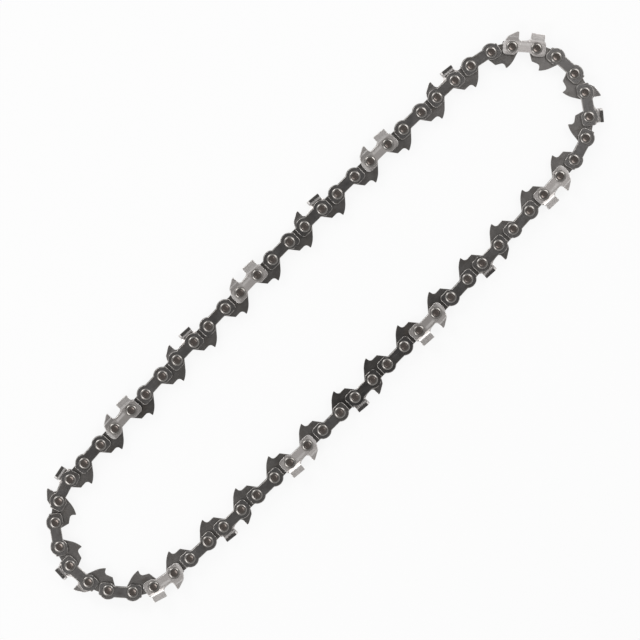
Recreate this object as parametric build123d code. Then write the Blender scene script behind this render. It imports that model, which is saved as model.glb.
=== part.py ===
from build123d import *
import math
import os

# Closed loop of saw chain, lying flat on the sides of its right-hand cutters.
# Millimetres, +Z up, +X along the loop, origin under the middle of its box.
# Along the chain the links run clockwise seen from above, each from its front to its rear.

# Loop as it lies
drive_link_count = 34
pitch = 9.32
strap_spacing = 9.92
end_radius = 28.3
flank_radius = 2130.0
first_rivet_along = -24.7

# Where the cutters sit
links_per_cutter = 2
repeated_hand_at = 10

# Drive links that share a node with the strap pair before them
shared_first = 5
shared_step = 3
shared_per_flank = 4

# Thicknesses across the chain
gauge = 1.3
side_clearance = 0.05
strap_thickness = 1.25

# Rivet
hub_radius = 2.1
hub_clearance = 0.05
shank_radius = 1.6
head_radius = 2.4
head_height = 0.55
head_rim = 0.12
crown_radius = 1.3
dish_radius = 1.0
dish_depth = 0.15

# Strap outline, measured from the line through its rivets
strap_end_gap = 1.2
lobe_inset = 0.1
waist_top = 2.62
waist_bottom = 1.86
foot_depth = 3.2
foot_slope_run = 1.7
foot_reach = 0.85
shoulder_height = 2.1
foot_corner = 1.7
shoulder_corner = 0.5
waist_corner = 0.6
edge_break = 0.2

# Drive link outline
drive_wall = 1.0
drive_top = 2.1
heel_depth = 5.5
toe_depth = 7.75
toe_offset = 0.1
toe_tip = 0.15
notch_radius = 1.4
tang_front_angle = 52.0
tang_rear_angle = 48.0
rear_bend_depth = 5.03

# Depth gauge at the front of a cutter
gauge_fin_height = 6.4
gauge_crest = 0.75
gauge_rear_from_rivet = 2.46
gauge_knee_height = 4.35
gauge_knee_before_rivet = 1.7
gauge_slope_start = 1.1
gauge_set = 0.35
gauge_bend_rise = 0.6

# Tooth at the rear of a cutter
tooth_height = 6.25
tooth_front_before_rivet = 2.62
tooth_rear_from_end = 0.4
tooth_rear_lean = 0.45
tooth_kick = 0.9
tooth_bend_rise = 1.15
tooth_chamfer = 0.95
top_plate_past_middle = 0.5
top_relief = 5.4
filing_angle = 25.0
gullet_radius = 0.95

# Sizes that follow from these
drive_spacing = 2 * pitch - strap_spacing
strap_half = strap_spacing / 2
drive_half = drive_spacing / 2
strap_reach = (drive_spacing - strap_end_gap) / 2
strap_end = strap_half + strap_reach
lobe_radius = strap_reach - lobe_inset
drive_end_radius = hub_radius + drive_wall
hub_half = gauge / 2 + side_clearance
strap_face = hub_half + strap_thickness
cutter_face = strap_face + tooth_kick
lying_height = max(cutter_face, strap_face + head_height)
above_all = 2 * tooth_height
below_all = 2 * toe_depth
rivet_count = 2 * drive_link_count
steps_of_halving = 48


def rivet_line_length(flank_turn):
    """Length of the whole rivet line: two end arcs and two bowed flanks."""
    return 4 * (end_radius * (math.pi / 2 - flank_turn) + flank_radius * flank_turn)


def rivet_line_point(along, flank_turn):
    """Point on the rivet line, going clockwise from the tip at +X."""
    length = rivet_line_length(flank_turn)
    half_length = length / 2
    end_part = end_radius * (math.pi / 2 - flank_turn)
    centre_gap = flank_radius - end_radius
    end_centre = centre_gap * math.sin(flank_turn)
    flank_centre = centre_gap * math.cos(flank_turn)
    along %= length
    side = 1 if along < half_length else -1
    along %= half_length
    if along < end_part:
        turn = along / end_radius
        x = end_centre + end_radius * math.cos(turn)
        y = -end_radius * math.sin(turn)
    elif along < half_length - end_part:
        turn = (half_length / 2 - along) / flank_radius
        x = flank_radius * math.sin(turn)
        y = flank_centre - flank_radius * math.cos(turn)
    else:
        turn = (half_length - along) / end_radius
        x = -end_centre - end_radius * math.cos(turn)
        y = -end_radius * math.sin(turn)
    return side * x, side * y


def walk_rivets(flank_turn):
    """Rivets stepped off along the line by their spacing, and the length that they take up."""
    along = first_rivet_along
    points = [rivet_line_point(along, flank_turn)]
    for step in range(rivet_count):
        spacing = strap_spacing if step % 2 == 0 else drive_spacing
        low = along
        high = along + 2 * spacing
        for _ in range(steps_of_halving):
            along = (low + high) / 2
            if math.dist(rivet_line_point(along, flank_turn), points[-1]) < spacing:
                low = along
            else:
                high = along
        points.append(rivet_line_point(along, flank_turn))
    return points[:rivet_count], along - first_rivet_along


def closed_rivets():
    """Rivets of the closed loop: the flanks are as long as the links need."""
    low = 0.0
    high = math.pi / 2
    for _ in range(steps_of_halving):
        flank_turn = (low + high) / 2
        points, length = walk_rivets(flank_turn)
        if length > rivet_line_length(flank_turn):
            low = flank_turn
        else:
            high = flank_turn
    return [Vector(x, y) for x, y in points]


def strap_outline():
    """Side link with two round lobes, flat feet below and square ends."""
    middle = Vector(0, (waist_top - waist_bottom) / 2)
    outline = Pos(middle) * Rectangle(strap_spacing, waist_top + waist_bottom)
    for side in (-1, 1):
        outline += Pos(side * strap_half, 0) * Circle(lobe_radius)
        foot_inner = strap_half - foot_reach
        outline += make_face(
            Polyline(
                (side * (foot_inner - foot_slope_run), -waist_bottom),
                (side * foot_inner, -foot_depth),
                (side * strap_end, -foot_depth),
                (side * strap_end, shoulder_height),
                (side * strap_half, shoulder_height),
                close=True,
            )
        )
    above_feet = Pos(0, above_all / 2 - foot_depth) * Rectangle(2 * strap_end, above_all)
    outline &= above_feet
    ends = [v for v in outline.vertices() if abs(v.X) > strap_end - lobe_inset / 2]
    outline = fillet([v for v in ends if v.Y < 0], foot_corner)
    ends = [v for v in outline.vertices() if abs(v.X) > strap_end - lobe_inset / 2]
    outline = fillet([v for v in ends if v.Y > 0], shoulder_corner)
    waist = [v for v in outline.vertices() if abs(v.X) < strap_half - foot_reach - foot_slope_run / 2]
    return fillet(waist, waist_corner)


def rivet_holes():
    """Holes for the rivet shanks, through both side links."""
    holes = Sketch()
    for side in (-1, 1):
        holes += Pos(side * strap_half, 0) * Circle(shank_radius)
    return Pos(0, 0, -lying_height) * extrude(holes, 2 * lying_height)


def tie_strap():
    """Plain side link of the near side, with broken edges on its outer face."""
    plate = Pos(0, 0, hub_half) * extrude(strap_outline(), strap_thickness)
    plate = chamfer(plate.faces().sort_by(Axis.Z)[-1].edges(), edge_break)
    return (plate - rivet_holes()).solid()


def bent_sheet(section, start, end, drop):
    """Sheet with one section along the cutter, lowered towards the rear."""
    face = Plane((start, 0, 0), x_dir=(0, 0, 1), z_dir=(-1, 0, 0)) * section
    rise = Vector(end - start, -drop, 0)
    return extrude(face, rise.length, dir=rise)


def gauge_section():
    """Section of the cutter at its depth gauge: a flat sheet, set a little outwards above."""
    bend = waist_top
    set_from = bend + gauge_bend_rise
    return make_face(
        Polyline(
            (hub_half, -below_all),
            (hub_half, bend),
            (hub_half + gauge_set, set_from),
            (hub_half + gauge_set, above_all),
            (strap_face + gauge_set, above_all),
            (strap_face + gauge_set, set_from),
            (strap_face, bend),
            (strap_face, -below_all),
            close=True,
        )
    )


def tooth_section(top):
    """Section at the tooth: the sheet steps outwards and folds over into the top plate."""
    bend = waist_top
    kicked = bend + tooth_bend_rise
    under = top - strap_thickness
    inner_face = cutter_face - strap_thickness
    inner_chamfer = tooth_chamfer / 2
    return make_face(
        Polyline(
            (hub_half, -below_all),
            (hub_half, bend),
            (inner_face, kicked),
            (inner_face, under - inner_chamfer),
            (inner_face - inner_chamfer, under),
            (-top_plate_past_middle, under),
            (-top_plate_past_middle, top),
            (cutter_face - tooth_chamfer, top),
            (cutter_face, top - tooth_chamfer),
            (cutter_face, kicked),
            (strap_face, bend),
            (strap_face, -below_all),
            close=True,
        )
    )


def cutter_silhouette():
    """Side view of a cutter with its gullet still full."""
    body = strap_outline()
    below_waist = Pos(0, waist_top - below_all / 2) * Rectangle(2 * strap_end, below_all)
    body &= below_waist
    gauge_rear = gauge_rear_from_rivet - strap_half
    knee = -strap_half - gauge_knee_before_rivet
    tooth_rear = strap_end - tooth_rear_from_end
    body += make_face(
        Polyline(
            (-strap_end, 0),
            (-strap_end, gauge_slope_start),
            (knee, gauge_knee_height),
            (gauge_rear - gauge_crest, gauge_fin_height),
            (gauge_rear, gauge_fin_height),
            (gauge_rear, above_all),
            (tooth_rear, above_all),
            (tooth_rear, tooth_height),
            (tooth_rear - tooth_rear_lean, waist_top),
            (tooth_rear - tooth_rear_lean, 0),
            close=True,
        )
    )
    return body


def gullet():
    """Open space between depth gauge and tooth, filed at an angle across the tooth's front."""
    gauge_rear = gauge_rear_from_rivet - strap_half
    tooth_front = strap_half - tooth_front_before_rivet
    middle = (gauge_rear + tooth_front) / 2
    depth = above_all - waist_top
    height = waist_top + depth / 2
    across = cutter_face + strap_face
    front_half = Pos((gauge_rear + middle) / 2, height) * Rectangle(middle - gauge_rear, depth)
    front_corner = front_half.vertices().group_by(Axis.Y)[0].sort_by(Axis.X)[0]
    front_half = fillet(front_corner, gullet_radius)
    rear_half = Pos((middle + tooth_front) / 2, height) * Rectangle(tooth_front - middle, depth)
    rear_corner = rear_half.vertices().group_by(Axis.Y)[0].sort_by(Axis.X)[-1]
    rear_half = fillet(rear_corner, gullet_radius)
    filed = Vector(math.tan(math.radians(filing_angle)), 0, -1)
    straight_cut = Pos(0, 0, -strap_face) * extrude(front_half + rear_half, across)
    filed_cut = extrude(Pos(0, 0, cutter_face) * rear_half, across * filed.length, dir=filed)
    return straight_cut + filed_cut


def cutter():
    """Left-hand cutter of the near side."""
    drop_per_length = math.tan(math.radians(top_relief))
    tooth_front = strap_half - tooth_front_before_rivet
    top = tooth_height + tooth_front * drop_per_length
    sheet = bent_sheet(gauge_section(), -strap_end, 0, 0)
    sheet += bent_sheet(tooth_section(top), 0, strap_end, strap_end * drop_per_length)
    side_view = Pos(0, 0, -strap_face) * extrude(cutter_silhouette(), cutter_face + strap_face)
    return ((sheet & side_view) - gullet() - rivet_holes()).solid()


def rivet():
    """Rivet with a thick hub for the drive link, a shank in each strap and two peened heads."""
    crown = strap_face + head_height
    upper = [
        (0, crown - dish_depth),
        (dish_radius, crown),
        (crown_radius, crown),
        (head_radius, strap_face + head_rim),
        (head_radius, strap_face),
        (shank_radius, strap_face),
        (shank_radius, hub_half),
        (hub_radius, hub_half),
    ]
    lower = [(radius, -height) for radius, height in reversed(upper)]
    profile = make_face(Polyline(*upper, *lower, close=True))
    return revolve(Plane.XZ * profile, Axis.Z).solid()


def drive_link():
    """Middle link with two bearing holes and one tang that points into the loop."""
    front = math.radians(tang_front_angle)
    rear = math.radians(tang_rear_angle)
    front_top = Vector(-drive_half - drive_end_radius * math.sin(front), -drive_end_radius * math.cos(front))
    rear_top = Vector(drive_half + drive_end_radius * math.sin(rear), -drive_end_radius * math.cos(rear))
    heel_run = (heel_depth + front_top.Y) / math.tan(front)
    heel = Vector(front_top.X + heel_run, -heel_depth)
    bend_run = (rear_bend_depth + rear_top.Y) / math.tan(rear)
    bend = Vector(rear_top.X - bend_run, -rear_bend_depth)
    toe_front = Vector(toe_offset - toe_tip, -toe_depth)
    toe_rear = Vector(toe_offset + toe_tip, -toe_depth)
    notch_end = Vector(toe_front.X - toe_tip, -heel_depth - notch_radius)
    notch_start = Vector(notch_end.X - notch_radius, -heel_depth)
    edges = [
        Line((-drive_half, drive_top), (-drive_half, 0)),
        Line((-drive_half, 0), front_top),
        Line(front_top, heel),
        Line(heel, notch_start),
        TangentArc(notch_start, notch_end, tangent=(1, 0)),
        Line(notch_end, toe_front),
        Line(toe_front, toe_rear),
        TangentArc(bend, toe_rear, tangent=(-math.cos(rear), -math.sin(rear))),
        Line(bend, rear_top),
        Line(rear_top, (drive_half, 0)),
        Line((drive_half, 0), (drive_half, drive_top)),
        Line((drive_half, drive_top), (-drive_half, drive_top)),
    ]
    outline = make_face(edges)
    holes = Sketch()
    for side in (-1, 1):
        outline += Pos(side * drive_half, 0) * Circle(drive_end_radius)
        holes += Pos(side * drive_half, 0) * Circle(hub_radius + hub_clearance)
    return (Pos(0, 0, -gauge / 2) * extrude(outline - holes, gauge)).solid()


def link_place(rivet_index):
    """Place of the link that starts at a rivet: middle of its two rivets, turned to follow the loop."""
    start = rivets[rivet_index % rivet_count]
    end = rivets[(rivet_index + 1) % rivet_count]
    middle = (start + end) / 2
    return Plane((middle.X, middle.Y, lying_height), x_dir=end - start, z_dir=(0, 0, 1)).location


def shared_links():
    """Strap pairs that carry a drive link, the same number along each flank."""
    first = [shared_first + shared_step * index for index in range(shared_per_flank)]
    return first + [number + drive_link_count // 2 for number in first]


def cutter_hand(number):
    """Hand of the cutter in a strap pair, or None where both side links are plain."""
    if (number - 1) % links_per_cutter:
        return None
    order = (number - 1) // links_per_cutter
    swapped = order >= repeated_hand_at
    return "left" if (order + swapped) % 2 == 0 else "right"


def pair_name(number):
    """Node name of a strap pair."""
    hand = cutter_hand(number)
    kind = f"{hand}_cutter_link" if hand else "tie_link"
    carried = "_with_drive_link" if number in shared_links() else ""
    return f"{kind}_{number:02d}{carried}"


def pair_solids(number):
    """Solids of a strap pair in its own place: two side links and two rivets."""
    hand = cutter_hand(number)
    near = near_cutter if hand == "left" else near_strap
    far = far_cutter if hand == "right" else far_strap
    pins = [Pos(side * strap_half, 0) * pin for side in (-1, 1)]
    return [near, far, *pins]


rivets = closed_rivets()
near_strap = tie_strap()
far_strap = mirror(near_strap, Plane.XY)
near_cutter = cutter()
far_cutter = mirror(near_cutter, Plane.XY)
pin = rivet()
drive = drive_link()

nodes = {}
for number in range(1, drive_link_count + 1):
    pair_place = link_place(2 * number - 2)
    drive_place = link_place(2 * number - 1)
    nodes[pair_name(number)] = [pair_place * solid for solid in pair_solids(number)]
    if number in shared_links():
        nodes[pair_name(number)].append(drive_place * drive)
    else:
        nodes[f"drive_link_{number:02d}"] = [drive_place * drive]

# The middle of the whole box goes over the origin
whole = Compound([solid for solids in nodes.values() for solid in solids]).bounding_box()
centring = Pos(-whole.center().X, -whole.center().Y)

os.makedirs("parts", exist_ok=True)
for name, solids in nodes.items():
    export_step(Compound([centring * solid for solid in solids]), f"parts/{name}.step")
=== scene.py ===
import math
from collections import namedtuple

import bmesh
import bpy
from mathutils import Matrix, Vector


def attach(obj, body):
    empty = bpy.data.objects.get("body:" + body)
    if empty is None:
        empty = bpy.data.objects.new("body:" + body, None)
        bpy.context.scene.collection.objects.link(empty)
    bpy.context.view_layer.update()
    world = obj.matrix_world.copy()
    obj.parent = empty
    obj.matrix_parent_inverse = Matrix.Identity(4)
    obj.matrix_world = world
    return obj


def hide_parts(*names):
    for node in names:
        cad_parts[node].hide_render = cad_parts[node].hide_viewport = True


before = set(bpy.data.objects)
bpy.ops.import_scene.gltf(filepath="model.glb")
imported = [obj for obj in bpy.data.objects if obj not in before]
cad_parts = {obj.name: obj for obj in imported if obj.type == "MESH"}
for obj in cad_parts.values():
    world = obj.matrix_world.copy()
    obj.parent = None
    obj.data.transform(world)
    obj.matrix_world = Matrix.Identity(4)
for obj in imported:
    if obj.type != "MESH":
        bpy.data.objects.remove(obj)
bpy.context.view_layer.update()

# Sizes of the chain in millimetres, the same as its solids have. On a link, x runs from its front rivet
# to its rear one, y outwards from the loop and z to the near side.
MM = 0.001
FRONT, REAR = -1, 1
NEAR, FAR = 1, -1
PAIR_COUNT = 34
LYING_HEIGHT = 2.85
STRAP_HALF = 4.96
STRAP_FACE = 1.95
STRAP_THICKNESS = 1.25
DRIVE_HALF = 4.36
DRIVE_FACE = 0.65
EYE_RADIUS = 2.15
HUB_HALF = 0.70
HUB_RADIUS = 2.1
SHANK_RADIUS = 1.6
CROWN_HEIGHT = 0.55

# Outline that straps and cutters share
LOBE_RADIUS = 3.66
WAIST_LEVEL = 2.62
SHOULDER_LEVEL = 2.1
SHOULDER_ROUNDING = 0.5
ARCH_LEVEL = -1.86
FOOT_LEVEL = -3.2
PLATE_END = 8.72
# Corners from the arch under the waist to the end of a foot: x, y and rounding
FOOT = [(2.41, ARCH_LEVEL, 0.2), (4.11, FOOT_LEVEL, 0.1), (PLATE_END, FOOT_LEVEL, 1.7)]

# Outline of a drive link, with its turns in degrees
DRIVE_LOBE = 3.1
DRIVE_TOP = 2.1
REAR_EYE_TURN = -179.36
FRONT_EYE_TURN = -175.2
TANG_DEPTH = 7.75
HEEL_CENTRE = (-4.239, 2.391)
HEEL_TURN = -24.1
HOOK_CENTRE = (-1.6, -6.9)
HOOK_RADIUS = 1.4
HOOK_TURN = 90.0

# Bends of a cutter's flat blank from below upwards: height at the link's middle, fall to the rear in degrees,
# angle outwards in degrees, width of the bend and number of steps
Bend = namedtuple("Bend", "height fall angle width steps")
GAUGE_BENDS = [Bend(WAIST_LEVEL, 0.0, 15.0, 0.3, 3), Bend(4.15, 0.0, -11.0, 0.6, 3)]
TOOTH_BENDS = [
    Bend(WAIST_LEVEL, 5.4, 38.0, 0.35, 3),
    Bend(4.052, 5.4, -38.0, 0.95, 4),
    Bend(6.673, 5.4, -90.0, 0.0, 1),
]
GULLET_MIDDLE = 0.4

# Parts of a cutter that its finish tells apart, in millimetres
GAUGE_START = 2.6
# band of the gauge's upper bend that gets a painted highlight
GAUGE_RIDGE = (3.7, 4.5)
TOOTH_START = 2.9
TOOTH_FRONT = 1.2
PLATING_END = -0.35
# Limits on how far a face points outwards or along an axis, from -1 to 1
FACING = 0.9
BENT = (0.84, 0.995)
TURNED_INWARDS = -0.3
CUTTING_FACE = -0.6
# Shares of plating and wear, from 0 to 1
GAUGE_PLATING = 0.85
GAUGE_INSIDE_PLATING = 0.12
TOOTH_SIDE_WEAR = 0.4
HIDDEN_WEAR = 0.1

# Upper half of a rivet from its middle outwards: distance from the axis and height over the strap
RIVET_HEAD = [
    (0.0, 0.40),
    (0.6, 0.41),
    (0.95, 0.45),
    (1.2, 0.52),
    (1.36, CROWN_HEIGHT),
    (1.52, 0.545),
    (1.75, 0.50),
    (1.95, 0.43),
    (2.14, 0.33),
    (2.29, 0.20),
    (2.38, 0.09),
    (2.4, 0.0),
    (SHANK_RADIUS, 0.0),
]
RIVET_STEPS = 36

# Fineness of the meshes, in millimetres and degrees
ARC_STEP = 0.35
HOLE_STEPS = 32
WELD = 0.0005
CUT_SLACK = 0.0002
SLIVER = 0.06
HOLE_SLACK = 0.05
CROWN_SLACK = 0.001
SHORT_EDGE = 0.1
FLAT_ANGLE = 0.8
SMOOTH_ANGLE = 45.0
RIM_ANGLE = 58.0

# Painted sheen: the steel's colour is lighter towards the loop's ends, in millimetres from a place short of
# its middle, and its tone changes from link to link
LOOP_HALF = 140.0
FADE_SHIFT = 22.0
TONE_STEP = 0.086


class Shade:
    """A value in a finish's node tree. Arithmetic on it adds Math nodes."""

    def __init__(self, tree, socket=None):
        self.tree = tree
        self.socket = socket

    def node(self, kind, settings, sockets, output=0):
        """A new node: its settings come first, then the values or links of its sockets."""
        made = self.tree.nodes.new(kind)
        for key, value in settings.items():
            setattr(made, key, value)
        for key, value in sockets.items():
            if isinstance(value, Shade):
                self.tree.links.new(value.socket, made.inputs[key])
            else:
                made.inputs[key].default_value = value
        return Shade(self.tree, made.outputs[output])

    def feed(self, socket):
        """Links this value to a socket of a node that is already there."""
        self.tree.links.new(self.socket, socket)

    def maths(self, operation, first, second):
        return self.node("ShaderNodeMath", {"operation": operation}, {0: first, 1: second})

    def __add__(self, other):
        return self.maths("ADD", self, other)

    __radd__ = __add__

    def __sub__(self, other):
        return self.maths("SUBTRACT", self, other)

    def __rsub__(self, other):
        return self.maths("SUBTRACT", other, self)

    def __mul__(self, other):
        return self.maths("MULTIPLY", self, other)

    __rmul__ = __mul__

    def rise(self, low, high):
        """0 below low and 1 above high, with a smooth step between them."""
        settings = {"interpolation_type": "SMOOTHSTEP"}
        return self.node("ShaderNodeMapRange", settings, {"Value": self, "From Min": low, "From Max": high})

    def band(self, start, low, high, end):
        """1 from low to high, with smooth steps from 0 at the start and to 0 at the end."""
        return self.rise(start, low) * (1.0 - self.rise(high, end))

    def tint(self, first, second):
        """Colour that goes from first to second as this value goes from 0 to 1."""
        # Sockets of all data types share their names on this node, so those for colours go by number
        return self.node("ShaderNodeMix", {"data_type": "RGBA"}, {0: self, 6: first, 7: second}, 2)

    def scaled(self, factors):
        """Vector multiplied axis by axis."""
        return self.node("ShaderNodeVectorMath", {"operation": "MULTIPLY"}, {0: self, 1: factors})

    def shifted(self, other):
        """Sum of two vectors, or of a vector and a value on all three axes."""
        return self.node("ShaderNodeVectorMath", {"operation": "ADD"}, {0: self, 1: other})

    def length(self):
        return self.node("ShaderNodeVectorMath", {"operation": "LENGTH"}, {0: self}, "Value")

    def axis(self, name):
        """One of a vector's three values."""
        return self.node("ShaderNodeSeparateXYZ", {}, {0: self}, name)

    def cloud(self, scale, detail=2.0, roughness=0.5):
        """Noise on this vector."""
        sockets = {"Vector": self, "Scale": scale, "Detail": detail, "Roughness": roughness}
        return self.node("ShaderNodeTexNoise", {}, sockets)


def new_finish(name):
    """A material with its node tree and its shader."""
    finish = bpy.data.materials.new(name)
    finish.use_nodes = True
    return finish, Shade(finish.node_tree), finish.node_tree.nodes["Principled BSDF"]


def attribute(tree, name, output):
    return tree.node("ShaderNodeAttribute", {"attribute_name": name}, {}, output)


def apply_finish(tree, shader, colour, roughness, height, depth):
    """Feeds a metal's colour, roughness and marks to its shader. A height of 1 is a depth in millimetres."""
    bump = tree.node("ShaderNodeBump", {}, {"Strength": 1.0, "Distance": depth * MM, "Height": height})
    shader.inputs["Metallic"].default_value = 1.0
    for key, value in {"Base Color": colour, "Roughness": roughness, "Normal": bump}.items():
        value.feed(shader.inputs[key])


def surface_places(tree):
    """Place in the frame and place on the link, both in millimetres, and the piece's own tone from 0 to 1."""
    in_frame = tree.node("ShaderNodeTexCoord", {}, {}, "Object").scaled((1 / MM, 1 / MM, 1 / MM))
    on_link = attribute(tree, "place", "Vector")
    tone = attribute(tree, "tone", "Fac")
    return in_frame, on_link, tone


def painted_sheen_to_ends(in_frame):
    """Painted sheen that lightens the steel towards the loop's ends: 0 near the loop's middle and 1 at its
    ends.
    """
    reach = LOOP_HALF + FADE_SHIFT
    from_middle = in_frame.shifted((FADE_SHIFT, 0.0, 0.0)).scaled((1 / reach, 0.0, 0.0)).length()
    return from_middle.rise(0.1, 1.0)


def blued_steel(name, dark, light, bare, oily):
    """Oil-blued sheet steel: cloudy dark film, rolling marks and scratches along the link, bare edges whose
    light colour is also a painted edge highlight, and a painted sheen towards the loop's ends.
    """
    finish, tree, shader = new_finish(name)
    in_frame, on_link, tone = surface_places(tree)
    rub_and_glint = attribute(tree, "rub_and_glint", "Fac")
    film = in_frame.cloud(0.22, detail=4.0, roughness=0.6)
    specks = in_frame.cloud(3.2)
    stains = in_frame.cloud(0.35, detail=3.0).rise(0.5, 0.75)
    rolled = on_link.shifted(tone * 40.0).scaled((0.5, 11.0, 11.0)).cloud(1.0, detail=3.0, roughness=0.6)
    scratched = on_link.shifted(tone * 23.0).scaled((0.24, 6.5, 6.5)).cloud(1.0).rise(0.64, 0.72)
    patches = in_frame.cloud(0.9, detail=3.0).rise(0.25, 0.6)
    # bare worn edges, whose light colour also serves as a painted edge highlight
    rubbed_and_glint = (rub_and_glint * patches + film.rise(0.62, 0.8) * 0.12).rise(0.0, 1.0)
    # painted sheen: the blued steel is lighter towards the loop's ends
    end_sheen = painted_sheen_to_ends(in_frame)
    colour = (film * 0.45 + (0.75 - tone) * 0.3 + end_sheen * 0.4 + (rolled - 0.5) * 0.3).tint(dark, light)
    colour = (stains * 0.5).tint(colour, oily)
    colour = (specks.rise(0.6, 0.8) * 0.35).tint(colour, dark)
    colour = (scratched * 0.22).tint(colour, bare)
    colour = rubbed_and_glint.tint(colour, bare)
    roughness = 0.28 + film * 0.14 + rolled * 0.12 + specks * 0.05 - rubbed_and_glint * 0.08
    marks = rolled * 0.7 + specks * 0.3 - scratched * 0.5
    apply_finish(tree, shader, colour, roughness, marks, depth=0.006)
    return finish


def plated_steel(name, plate, dull, inner, bright):
    """Cutter: silvery plating outside, plain dark steel inside, bright where it is ground or worn; its edges,
    the gauge's upper bend, the tooth's inside and its bends are also lightened as painted highlight and
    reflection, and a painted sheen lightens it towards the loop's ends.
    """
    finish, tree, shader = new_finish(name)
    in_frame, on_link, tone = surface_places(tree)
    along = on_link.axis("X")
    across = on_link.axis("Y")
    rub_and_glint = attribute(tree, "rub_and_glint", "Fac")
    plated = attribute(tree, "plated", "Fac")
    ground = attribute(tree, "ground", "Fac")
    film = in_frame.cloud(0.3, detail=4.0, roughness=0.6)
    specks = in_frame.cloud(4.0)
    brushed = on_link.shifted(tone * 40.0).scaled((0.6, 13.0, 13.0)).cloud(1.0, detail=3.0, roughness=0.6)
    scratched = on_link.shifted(tone * 23.0).scaled((0.3, 5.0, 5.0)).cloud(1.0).rise(0.66, 0.73)
    wheel_marks = on_link.shifted(tone * 17.0).scaled((15.0, 1.2, 1.2)).cloud(1.0, detail=3.0, roughness=0.6)
    # painted sheen: the plating is brighter towards the loop's ends
    end_sheen = painted_sheen_to_ends(in_frame)
    foot = (0.0 - across).rise(1.7, 3.0)
    front_end = (0.0 - along).band(7.3, 7.8, 8.3, 8.6)
    rear_end = along.rise(6.8, 8.2)
    waist = across.band(0.5, 1.2, 1.5, 2.1) * (1.0 - (along * along).rise(3.0, 6.5))
    # worn edges and faces, lightened also as painted highlight on the edges and the gauge's upper bend and as
    # painted reflection inside the tooth
    rubbed_and_glint = rub_and_glint * in_frame.cloud(1.1, detail=3.0).rise(0.2, 0.55)
    colour = (tone * 0.55 + film * 0.15 + (1.0 - end_sheen) * 0.2 + brushed * 0.4 - 0.15).tint(plate, dull)
    colour = (specks.rise(0.62, 0.8) * 0.3 + scratched * 0.25).tint(colour, dull)
    # the plating is duller towards the feet
    colour = (foot * 0.7).tint(colour, dull)
    colour = ((front_end + waist) * 0.65).tint(colour, bright)
    colour = (rear_end * 0.3).tint(colour, dull)
    bare = film.tint(inner, [channel * 1.4 for channel in inner[:3]] + [1.0])
    colour = plated.tint(bare, colour)
    colour = (ground * wheel_marks.rise(0.35, 0.7) * 0.6).tint(colour, bright)
    colour = rubbed_and_glint.tint(colour, bright)
    roughness = 0.26 + film * 0.12 + brushed * 0.12 + specks * 0.04 - rubbed_and_glint * 0.05 - ground * 0.04
    marks = brushed * 0.7 + specks * 0.3 + ground * wheel_marks - scratched * 0.5
    apply_finish(tree, shader, colour, roughness, marks, depth=0.003)
    return finish


def spun_steel(name, rim, ring, shaded_dish):
    """Rivet head: dish darkened as painted shade in its shallow hollow, bright ring left by the heading tool,
    fine turning marks round the axis.
    """
    finish, tree, shader = new_finish(name)
    in_frame, on_link, tone = surface_places(tree)
    from_axis = on_link.scaled((1.0, 1.0, 0.0)).length()
    film = in_frame.cloud(0.6, detail=3.0, roughness=0.6)
    turned = {"W": from_axis + tone * 30.0, "Scale": 16.0}
    marks = tree.node("ShaderNodeTexNoise", {"noise_dimensions": "1D"}, turned)
    smudge = (in_frame.cloud(1.6) - 0.5) * 0.1
    crown = (from_axis + smudge).rise(1.45, 1.6) * (1.0 - from_axis.rise(2.2, 2.38))
    colour = crown.tint(rim, ring)
    # painted shade: the dish of the head is darker to stand in for the shade in its shallow hollow
    colour = (1.0 - (from_axis + smudge).rise(1.3, 1.5)).tint(colour, shaded_dish)
    colour = (film.rise(0.5, 0.8) * 0.35).tint(colour, shaded_dish)
    roughness = 0.18 + film * 0.08 + marks * 0.08
    apply_finish(tree, shader, colour, roughness, marks * 0.7 + film * 0.3, depth=0.006)
    return finish


def rivet_axes(node):
    """The two rivets of a strap pair, front one first, read from the flat crowns of their heads."""
    crown_level = (LYING_HEIGHT + STRAP_FACE + CROWN_HEIGHT) * MM
    spots = [corner.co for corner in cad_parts[node].data.vertices]
    crowns = {spot.to_tuple(6) for spot in spots if abs(spot.z - crown_level) < CROWN_SLACK * MM}
    crowns = [Vector(spot) for spot in sorted(crowns)]
    first = [spot for spot in crowns if (spot - crowns[0]).length < STRAP_HALF * MM]
    second = [spot for spot in crowns if (spot - crowns[0]).length >= STRAP_HALF * MM]
    ends = [sum(group, Vector()) / len(group) for group in (first, second)]
    clockwise = ends[0].cross(ends[1]).z < 0
    return ends if clockwise else ends[::-1]


def link_place(front, rear):
    """Matrix from a link's own millimetres to the frame, given the axes of its two rivets."""
    along = Vector((rear.x - front.x, rear.y - front.y, 0.0)).normalized()
    outwards = Vector((-along.y, along.x, 0.0))
    turn = Matrix((along, outwards, Vector((0.0, 0.0, 1.0)))).transposed().to_4x4()
    middle = (front + rear) / 2
    return Matrix.Translation((middle.x, middle.y, LYING_HEIGHT * MM)) @ turn @ Matrix.Scale(MM, 4)


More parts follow.
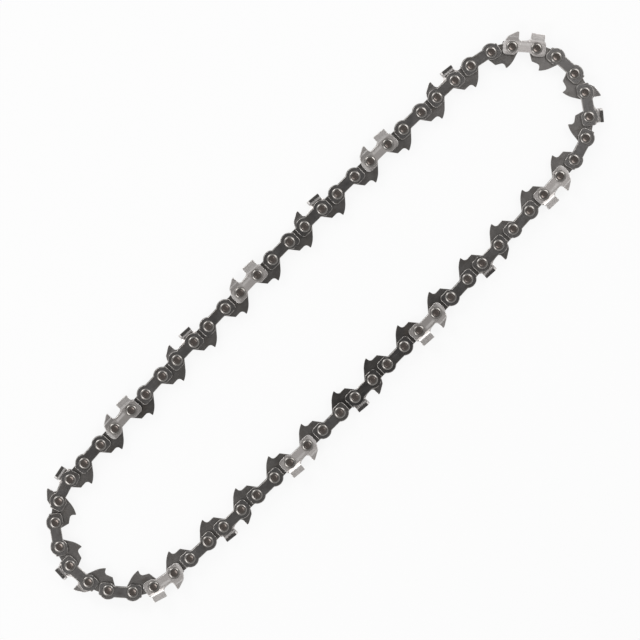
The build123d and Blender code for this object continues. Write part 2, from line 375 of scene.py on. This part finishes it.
class Outline:
    """Line scribed on flat sheet steel: straight strokes with rounded corners, and turns about a centre."""

    def __init__(self, shape, x, y):
        self.shape = shape
        self.start = self.here = shape.verts.new((x, y, 0.0))
        self.soft_corners = {}

    def to(self, x, y, rounding=0.0):
        corner = self.shape.verts.new((x, y, 0.0))
        self.shape.edges.new((self.here, corner))
        self.here = corner
        if rounding:
            self.soft_corners.setdefault(rounding, []).append(corner)

    def turn(self, x, y, degrees):
        angle = math.radians(degrees)
        reach = math.hypot(self.here.co.x - x, self.here.co.y - y)
        swept = bmesh.ops.spin(
            self.shape, geom=[self.here], cent=(x, y, 0.0), axis=(0.0, 0.0, 1.0),
            angle=angle, steps=max(3, round(reach * abs(angle) / ARC_STEP)),
        )
        self.here = swept["geom_last"][0]

    def close(self):
        self.shape.edges.new((self.here, self.start))
        for width, corners in self.soft_corners.items():
            bmesh.ops.bevel(
                self.shape, geom=corners, offset=width, offset_type="OFFSET", affect="VERTICES",
                segments=max(2, round(width * math.pi / 2 / ARC_STEP)), profile=0.5, material=-1,
            )


def rear_half(line):
    """Scribes a plate's rear foot and square end, up to its shoulder."""
    for x, y, rounding in FOOT:
        line.to(x, y, rounding)
    line.to(PLATE_END, SHOULDER_LEVEL, SHOULDER_ROUNDING)


def front_foot(line):
    """Scribes a plate's front foot and closes its outline."""
    for x, y, rounding in reversed(FOOT):
        line.to(-x, y, rounding)
    line.close()


def sheet_with_holes(shape, spacing, hole_radius, level):
    """Fills a scribed outline with flat sheet at a level, with a hole at each rivet."""
    for end in (FRONT, REAR):
        seat = Matrix.Translation((end * spacing / 2, 0.0, 0.0))
        bmesh.ops.create_circle(shape, segments=HOLE_STEPS, radius=hole_radius, matrix=seat)
    bmesh.ops.triangle_fill(shape, edges=shape.edges[:], use_beauty=True, normal=(0.0, 0.0, 1.0))
    bmesh.ops.translate(shape, vec=(0.0, 0.0, level), verts=shape.verts)
    shape.normal_update()
    bmesh.ops.reverse_faces(shape, faces=[face for face in shape.faces if face.normal.z < 0])


def bend_lines(bend):
    """A point on each line of a bend on the flat blank, from below upwards, and the direction across them."""
    fall = math.radians(bend.fall)
    across = Vector((math.sin(fall), math.cos(fall), 0.0))
    middle = Vector((0.0, bend.height, STRAP_FACE))
    gaps = max(bend.steps - 1, 1)
    return [middle + across * bend.width * (step / gaps - 0.5) for step in range(bend.steps)], across


def cut_for_bend(shape, bend, half):
    """Cuts one half of the flat blank along the lines of a bend."""
    points, across = bend_lines(bend)
    for point in points:
        faces = [face for face in shape.faces if (face.calc_center_median().x - GULLET_MIDDLE) * half > 0]
        edges = list({edge for face in faces for edge in face.edges})
        corners = list({corner for face in faces for corner in face.verts})
        bmesh.ops.bisect_plane(
            shape, geom=faces + edges + corners, dist=CUT_SLACK, plane_co=point, plane_no=across,
        )


def fold(shape, blank, bend, half):
    """Turns what lies beyond each line of a bend on one half of the flat blank, the upper lines first."""
    points, across = bend_lines(bend)
    along = Vector((across.y, -across.x, 0.0))
    turn = Matrix.Rotation(math.radians(bend.angle / bend.steps), 3, along)
    for point in reversed(points):
        beyond = [
            corner for corner in shape.verts
            if (corner[blank].x - GULLET_MIDDLE) * half > WELD and (corner[blank] - point).dot(across) > WELD
        ]
        bmesh.ops.rotate(shape, verts=beyond, cent=point, matrix=turn)


def bend_blank(shape):
    """Bends a cutter's flat blank: cuts along all lines, keeps where each corner was, and folds."""
    whole = shape.faces[:] + shape.edges[:] + shape.verts[:]
    gullet = Vector((GULLET_MIDDLE, 0.0, 0.0))
    bmesh.ops.bisect_plane(shape, geom=whole, dist=CUT_SLACK, plane_co=gullet, plane_no=(1.0, 0.0, 0.0))
    for bends, half in ((GAUGE_BENDS, FRONT), (TOOTH_BENDS, REAR)):
        for bend in bends:
            cut_for_bend(shape, bend, half)
    bmesh.ops.remove_doubles(shape, verts=shape.verts, dist=SLIVER)
    blank = shape.verts.layers.float_vector.new("blank")
    for corner in shape.verts:
        corner[blank] = corner.co
    for bends, half in ((GAUGE_BENDS, FRONT), (TOOTH_BENDS, REAR)):
        for bend in reversed(bends):
            fold(shape, blank, bend, half)
    shape.verts.layers.float_vector.remove(blank)
    shape.normal_update()


def thicken(shape, thickness, side):
    """Gives a sheet its thickness inwards, on the chain's near or far side."""
    bmesh.ops.remove_doubles(shape, verts=shape.verts, dist=WELD)
    flat = math.radians(FLAT_ANGLE)
    bmesh.ops.dissolve_limit(shape, angle_limit=flat, verts=shape.verts, edges=shape.edges)
    bmesh.ops.solidify(shape, geom=shape.faces[:], thickness=thickness)
    bmesh.ops.scale(shape, vec=(1.0, 1.0, side), verts=shape.verts)
    bmesh.ops.recalc_face_normals(shape, faces=shape.faces)


def rim_edges(shape, spacing, hole_radius):
    """Sharp edges of a plate, without those of its rivet holes."""
    def clear_of_hole(corner):
        return math.hypot(abs(corner.co.x) - spacing / 2, corner.co.y) > hole_radius + HOLE_SLACK

    sharp = math.radians(RIM_ANGLE)
    rims = [edge for edge in shape.edges if edge.is_manifold and edge.calc_face_angle() > sharp]
    return [edge for edge in rims if all(clear_of_hole(corner) for corner in edge.verts)]


def round_edges(shape, edges, width, segments, edge_rub_and_glint):
    """Rounds edges and marks the new faces with how bare they are worn, which also lightens them as a painted
    edge highlight.
    """
    rub_and_glint = shape.faces.layers.float.get("rub_and_glint") or shape.faces.layers.float.new("rub_and_glint")
    rounded = bmesh.ops.bevel(
        shape, geom=edges, offset=width, offset_type="OFFSET", affect="EDGES",
        segments=segments, profile=0.5, material=-1, clamp_overlap=False,
    )
    for face in rounded["faces"]:
        face[rub_and_glint] = edge_rub_and_glint


def finished_mesh(name, shape):
    """Mesh of a shape, smooth, with each point's place on its link kept for the finish."""
    place = shape.verts.layers.float_vector.new("place")
    for corner in shape.verts:
        corner[place] = corner.co
    for face in shape.faces:
        face.smooth = True
    for edge in shape.edges:
        edge.smooth = edge.calc_face_angle(0.0) < math.radians(SMOOTH_ANGLE)
    mesh = bpy.data.meshes.new(name)
    shape.to_mesh(mesh)
    shape.free()
    return mesh


def tie_strap(side):
    """Plain side link: two round lobes, flat feet, square ends, and its outer edges rounded."""
    shoulder_reach = math.sqrt(LOBE_RADIUS ** 2 - SHOULDER_LEVEL ** 2)
    waist_reach = math.sqrt(LOBE_RADIUS ** 2 - WAIST_LEVEL ** 2)
    shoulder_angle = math.degrees(math.asin(SHOULDER_LEVEL / LOBE_RADIUS))
    waist_angle = math.degrees(math.asin(WAIST_LEVEL / LOBE_RADIUS))
    lobe_turn = 180.0 - shoulder_angle - waist_angle
    shape = bmesh.new()
    line = Outline(shape, 0.0, ARCH_LEVEL)
    rear_half(line)
    line.to(STRAP_HALF + shoulder_reach, SHOULDER_LEVEL)
    line.turn(STRAP_HALF, 0.0, lobe_turn)
    line.to(waist_reach - STRAP_HALF, WAIST_LEVEL)
    line.turn(-STRAP_HALF, 0.0, lobe_turn)
    line.to(-PLATE_END, SHOULDER_LEVEL, SHOULDER_ROUNDING)
    front_foot(line)
    sheet_with_holes(shape, 2 * STRAP_HALF, SHANK_RADIUS, STRAP_FACE)
    thicken(shape, STRAP_THICKNESS, side)
    rims = rim_edges(shape, 2 * STRAP_HALF, SHANK_RADIUS)
    outer = [edge for edge in rims if edge.verts[0].co.z * side > STRAP_FACE - WELD]
    round_edges(shape, outer, width=0.27, segments=3, edge_rub_and_glint=1.0)
    inner = rim_edges(shape, 2 * STRAP_HALF, SHANK_RADIUS)
    round_edges(shape, inner, width=0.06, segments=1, edge_rub_and_glint=0.6)
    return finished_mesh("tie_strap", shape)


def mark_cutter(shape, side):
    """Marks how plated, how freshly ground and how worn each face of a cutter is for its finish; the same
    wear mark also puts a painted highlight on the gauge's upper bend and a painted reflection on the tooth's
    inside and bends.
    """
    plated = shape.faces.layers.float.new("plated")
    ground = shape.faces.layers.float.new("ground")
    rub_and_glint = shape.faces.layers.float["rub_and_glint"]
    shape.normal_update()
    for face in shape.faces:
        middle = face.calc_center_median()
        outwards = face.normal.z * side
        inside = outwards < TURNED_INWARDS
        on_gauge = middle.x < GULLET_MIDDLE and middle.y > GAUGE_START
        on_tooth = middle.x > TOOTH_FRONT and middle.y > TOOTH_START
        on_ridge = outwards > FACING and GAUGE_RIDGE[0] < middle.y < GAUGE_RIDGE[1]
        on_bend = BENT[0] < outwards < BENT[1]
        if middle.z * side < PLATING_END:
            face[plated] = 0.0
            face[rub_and_glint] *= HIDDEN_WEAR
        elif on_gauge:
            face[plated] = GAUGE_INSIDE_PLATING if inside else GAUGE_PLATING
            # painted highlight: the gauge's upper bend is marked as worn so that its finish lightens it
            if on_ridge:
                face[rub_and_glint] = 1.0
        else:
            face[plated] = 1.0
            # painted reflection: the tooth's inner faces and its bends are marked as worn so that its finish
            # lightens them
            if on_tooth and (inside or on_bend):
                face[rub_and_glint] = 1.0
            elif on_tooth and outwards > FACING:
                face[rub_and_glint] = max(face[rub_and_glint], TOOTH_SIDE_WEAR)
        if on_tooth and (face.normal.y > FACING or face.normal.x < CUTTING_FACE):
            face[ground] = 1.0


def cutter(side):
    """Cutter bent from one flat blank: depth gauge in front, tooth that folds over into its top plate."""
    shape = bmesh.new()
    line = Outline(shape, 0.0, ARCH_LEVEL)
    rear_half(line)
    # Tooth: up its rear edge, along the end of its top plate, down its cutting edge
    line.to(7.9, SHOULDER_LEVEL, 0.2)
    line.to(8.03, 4.15)
    line.to(8.12, 5.88)
    line.to(8.36, 7.48)
    line.to(8.52, 9.186)
    line.to(3.72, 9.639)
    line.to(2.96, 8.01)
    line.to(2.48, 6.41)
    line.to(2.36, 4.7)
    # Gullet
    line.to(2.34, WAIST_LEVEL, 0.95)
    line.to(-2.5, WAIST_LEVEL, 0.95)
    # Depth gauge: its tip, its slope and the front shoulder
    line.to(-2.5, 6.34, 0.15)
    line.to(-3.25, 6.34, 0.3)
    line.to(-6.66, 4.4, 0.4)
    line.to(-PLATE_END, 1.1, 0.3)
    front_foot(line)
    sheet_with_holes(shape, 2 * STRAP_HALF, SHANK_RADIUS, STRAP_FACE)
    bend_blank(shape)
    thicken(shape, STRAP_THICKNESS, side)
    bmesh.ops.dissolve_degenerate(shape, edges=shape.edges, dist=SHORT_EDGE)
    rims = rim_edges(shape, 2 * STRAP_HALF, SHANK_RADIUS)
    round_edges(shape, rims, width=0.12, segments=3, edge_rub_and_glint=1.0)
    mark_cutter(shape, side)
    return finished_mesh("cutter", shape)


def drive_link():
    """Middle link with two eyes and a tang that points into the loop, its edges just broken."""
    top_reach = math.sqrt(DRIVE_LOBE ** 2 - DRIVE_TOP ** 2)
    shape = bmesh.new()
    line = Outline(shape, top_reach - DRIVE_HALF, DRIVE_TOP)
    line.to(DRIVE_HALF - top_reach, DRIVE_TOP)
    line.turn(DRIVE_HALF, 0.0, REAR_EYE_TURN)
    # Tang: its round heel, its tip, the hook before it and its straight front
    line.to(4.002, -5.03)
    line.turn(*HEEL_CENTRE, HEEL_TURN)
    line.to(-0.05, -TANG_DEPTH)
    line.to(HOOK_CENTRE[0] + HOOK_RADIUS, HOOK_CENTRE[1])
    line.turn(*HOOK_CENTRE, HOOK_TURN)
    line.to(-3.997, -5.5, 0.1)
    line.to(-6.803, -1.909)
    line.turn(-DRIVE_HALF, 0.0, FRONT_EYE_TURN)
    line.close()
    sheet_with_holes(shape, 2 * DRIVE_HALF, EYE_RADIUS, DRIVE_FACE)
    thicken(shape, 2 * DRIVE_FACE, NEAR)
    round_edges(shape, rim_edges(shape, 2 * DRIVE_HALF, EYE_RADIUS), width=0.09, segments=2, edge_rub_and_glint=1.0)
    return finished_mesh("drive_link", shape)


def rivet():
    """Rivet turned from its half profile: two peened heads, two shanks and the hub between them."""
    upper = [(radius, STRAP_FACE + height) for radius, height in RIVET_HEAD]
    upper += [(SHANK_RADIUS, HUB_HALF), (HUB_RADIUS, HUB_HALF)]
    profile = upper + [(radius, -height) for radius, height in reversed(upper)]
    shape = bmesh.new()
    corners = [shape.verts.new((radius, 0.0, height)) for radius, height in profile]
    sides = [shape.edges.new(pair) for pair in zip(corners, corners[1:])]
    bmesh.ops.spin(
        shape, geom=corners + sides, cent=(0.0, 0.0, 0.0), axis=(0.0, 0.0, 1.0),
        angle=math.tau, steps=RIVET_STEPS, use_merge=True,
    )
    bmesh.ops.remove_doubles(shape, verts=shape.verts, dist=WELD)
    bmesh.ops.recalc_face_normals(shape, faces=shape.faces)
    return finished_mesh("rivet", shape)


def set_piece(name, mesh, place, node, finish, tone):
    """Puts a copy of a mesh in its place on the chain, riding on its node's body."""
    mesh = mesh.copy()
    mesh.name = name
    mesh.transform(place)
    mesh.materials.append(finish)
    mesh.attributes.new("tone", "FLOAT", "POINT").data.foreach_set("value", [tone] * len(mesh.vertices))
    piece = bpy.data.objects.new(name, mesh)
    bpy.context.scene.collection.objects.link(piece)
    even = piece.modifiers.new("even_shading", "WEIGHTED_NORMAL")
    even.keep_sharp = True
    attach(piece, node)
    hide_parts(node)


# Finishes
strap_finish = blued_steel(
    "blued_strap_steel",
    dark=(0.032, 0.0305, 0.030, 1.0),
    light=(0.225, 0.215, 0.210, 1.0),
    bare=(0.40, 0.38, 0.36, 1.0),
    oily=(0.085, 0.074, 0.064, 1.0),
)
drive_finish = blued_steel(
    "blued_drive_link_steel",
    dark=(0.032, 0.030, 0.0285, 1.0),
    light=(0.260, 0.246, 0.236, 1.0),
    bare=(0.34, 0.32, 0.30, 1.0),
    oily=(0.100, 0.086, 0.074, 1.0),
)
cutter_finish = plated_steel(
    "plated_cutter_steel",
    plate=(0.70, 0.66, 0.64, 1.0),
    dull=(0.33, 0.31, 0.295, 1.0),
    inner=(0.085, 0.08, 0.077, 1.0),
    bright=(0.80, 0.77, 0.75, 1.0),
)
rivet_finish = spun_steel(
    "spun_rivet_steel",
    rim=(0.13, 0.122, 0.115, 1.0),
    ring=(0.28, 0.265, 0.25, 1.0),
    shaded_dish=(0.175, 0.150, 0.136, 1.0),
)

# Places of the links along the chain, by number
pair_nodes = {
    int(name.split("_link_")[1][:2]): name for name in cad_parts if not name.startswith("drive_link")
}
axes = {number: rivet_axes(node) for number, node in pair_nodes.items()}
pair_places = {number: link_place(*ends) for number, ends in axes.items()}
drive_places = {number: link_place(axes[number][1], axes[number % PAIR_COUNT + 1][0]) for number in axes}

# One mesh for each kind of piece
left_strap = tie_strap(NEAR)
right_strap = tie_strap(FAR)
left_cutter = cutter(NEAR)
right_cutter = cutter(FAR)
drive_tang = drive_link()
rivet_mesh = rivet()

# Pieces
for number, node in sorted(pair_nodes.items()):
    label = f"link_{number:02d}"
    tone = number * TONE_STEP % 1.0
    place = pair_places[number]
    if node.startswith("left_cutter"):
        set_piece(f"{label}_left_cutter", left_cutter, place, node, cutter_finish, tone)
    else:
        set_piece(f"{label}_left_strap", left_strap, place, node, strap_finish, tone)
    if node.startswith("right_cutter"):
        set_piece(f"{label}_right_cutter", right_cutter, place, node, cutter_finish, tone)
    else:
        set_piece(f"{label}_right_strap", right_strap, place, node, strap_finish, 1 - tone)
    for end, along in (("front", -STRAP_HALF), ("rear", STRAP_HALF)):
        seat = place @ Matrix.Translation((along, 0.0, 0.0))
        set_piece(f"{label}_{end}_rivet", rivet_mesh, seat, node, rivet_finish, tone)
    carrier = node if node.endswith("with_drive_link") else f"drive_link_{number:02d}"
    drive_place = drive_places[number]
    set_piece(f"{label}_drive_link", drive_tang, drive_place, carrier, drive_finish, tone)


# Stage, light and camera, in metres and degrees
def soft_lamp(name, towards, from_zenith, distance, width, radiance):
    """Square soft lamp that looks at the chain from one side of the frame."""
    lamp = bpy.data.lights.new(name, "AREA")
    lamp.shape = "SQUARE"
    lamp.size = width
    lamp.energy = 4 * width ** 2 * radiance
    tilt = math.radians(from_zenith)
    spot = Vector((towards[0] * math.sin(tilt), towards[1] * math.sin(tilt), math.cos(tilt))) * distance
    holder = bpy.data.objects.new(name, lamp)
    holder.location = spot
    holder.rotation_euler = (-spot).to_track_quat("-Z", "Y").to_euler()
    bpy.context.scene.collection.objects.link(holder)


def pale_floor(half_width, gap, paint, glow):
    """White table just under the chain that stays white in view and still takes its shadow."""
    shape = bmesh.new()
    bmesh.ops.create_grid(shape, x_segments=1, y_segments=1, size=half_width)
    bmesh.ops.translate(shape, vec=(0.0, 0.0, -gap), verts=shape.verts)
    mesh = bpy.data.meshes.new("table")
    shape.to_mesh(mesh)
    shape.free()
    finish, tree, shader = new_finish("white_table")
    finish.node_tree.nodes.remove(shader)
    seen = tree.node("ShaderNodeLightPath", {}, {}, "Is Camera Ray")
    seen += tree.node("ShaderNodeLightPath", {}, {}, "Is Glossy Ray")
    seen += tree.node("ShaderNodeLightPath", {}, {}, "Is Transmission Ray")
    painted = tree.node("ShaderNodeBsdfDiffuse", {}, {"Color": (paint, paint, paint, 1.0)})
    white = tree.node("ShaderNodeEmission", {}, {"Color": (1.0, 1.0, 1.0, 1.0), "Strength": 1.0})
    mixed = tree.node("ShaderNodeMixShader", {}, {0: seen.rise(0.0, 1.0) * glow, 1: painted, 2: white})
    mixed.feed(finish.node_tree.nodes["Material Output"].inputs["Surface"])
    mesh.materials.append(finish)
    floor = bpy.data.objects.new("table", mesh)
    bpy.context.scene.collection.objects.link(floor)


def studio_world(horizon, zenith):
    """Pale walls that darken to the ceiling."""
    world = bpy.data.worlds.new("studio")
    bpy.context.scene.world = world
    world.use_nodes = True
    up = Shade(world.node_tree).node("ShaderNodeTexCoord", {}, {}, "Generated").axis("Z")
    colour = up.rise(0.0, 0.85).tint((horizon, horizon, horizon, 1.0), (zenith, zenith, zenith, 1.0))
    colour.feed(world.node_tree.nodes["Background"].inputs["Color"])


def photo_camera(target, off_zenith, picture_up, distance, lens):
    """Camera almost straight above the chain, turned so that the loop runs up to the right."""
    tilt = math.radians(off_zenith)
    back = Vector((0.0, math.sin(tilt), math.cos(tilt)))
    right = picture_up.cross(back).normalized()
    up = back.cross(right)
    camera = bpy.data.cameras.new("camera")
    camera.sensor_width = 36.0
    camera.lens = lens
    turn = Matrix((right, up, back)).transposed().to_4x4()
    holder = bpy.data.objects.new("camera", camera)
    holder.matrix_world = Matrix.Translation(target + back * distance) @ turn
    bpy.context.scene.collection.objects.link(holder)
    bpy.context.scene.camera = holder


soft_lamp("lamp_over_far_flank", (0.0, 1.0), from_zenith=54.0, distance=1.2, width=0.55, radiance=3.5)
soft_lamp("lamp_right", (1.0, 0.0), from_zenith=42.0, distance=0.75, width=0.34, radiance=3.2)
soft_lamp("lamp_left", (-1.0, 0.0), from_zenith=42.0, distance=0.75, width=0.34, radiance=3.2)
pale_floor(half_width=3.0, gap=0.1 * MM, paint=0.8, glow=0.88)
studio_world(horizon=1.0, zenith=0.35)
photo_camera(
    target=Vector((0.47, 0.62, 5.2)) * MM, off_zenith=3.0, picture_up=Vector((0.7175, 0.6965, 0.0)),
    distance=2.5, lens=348.6,
)
bpy.context.scene.view_settings.view_transform = "Standard"
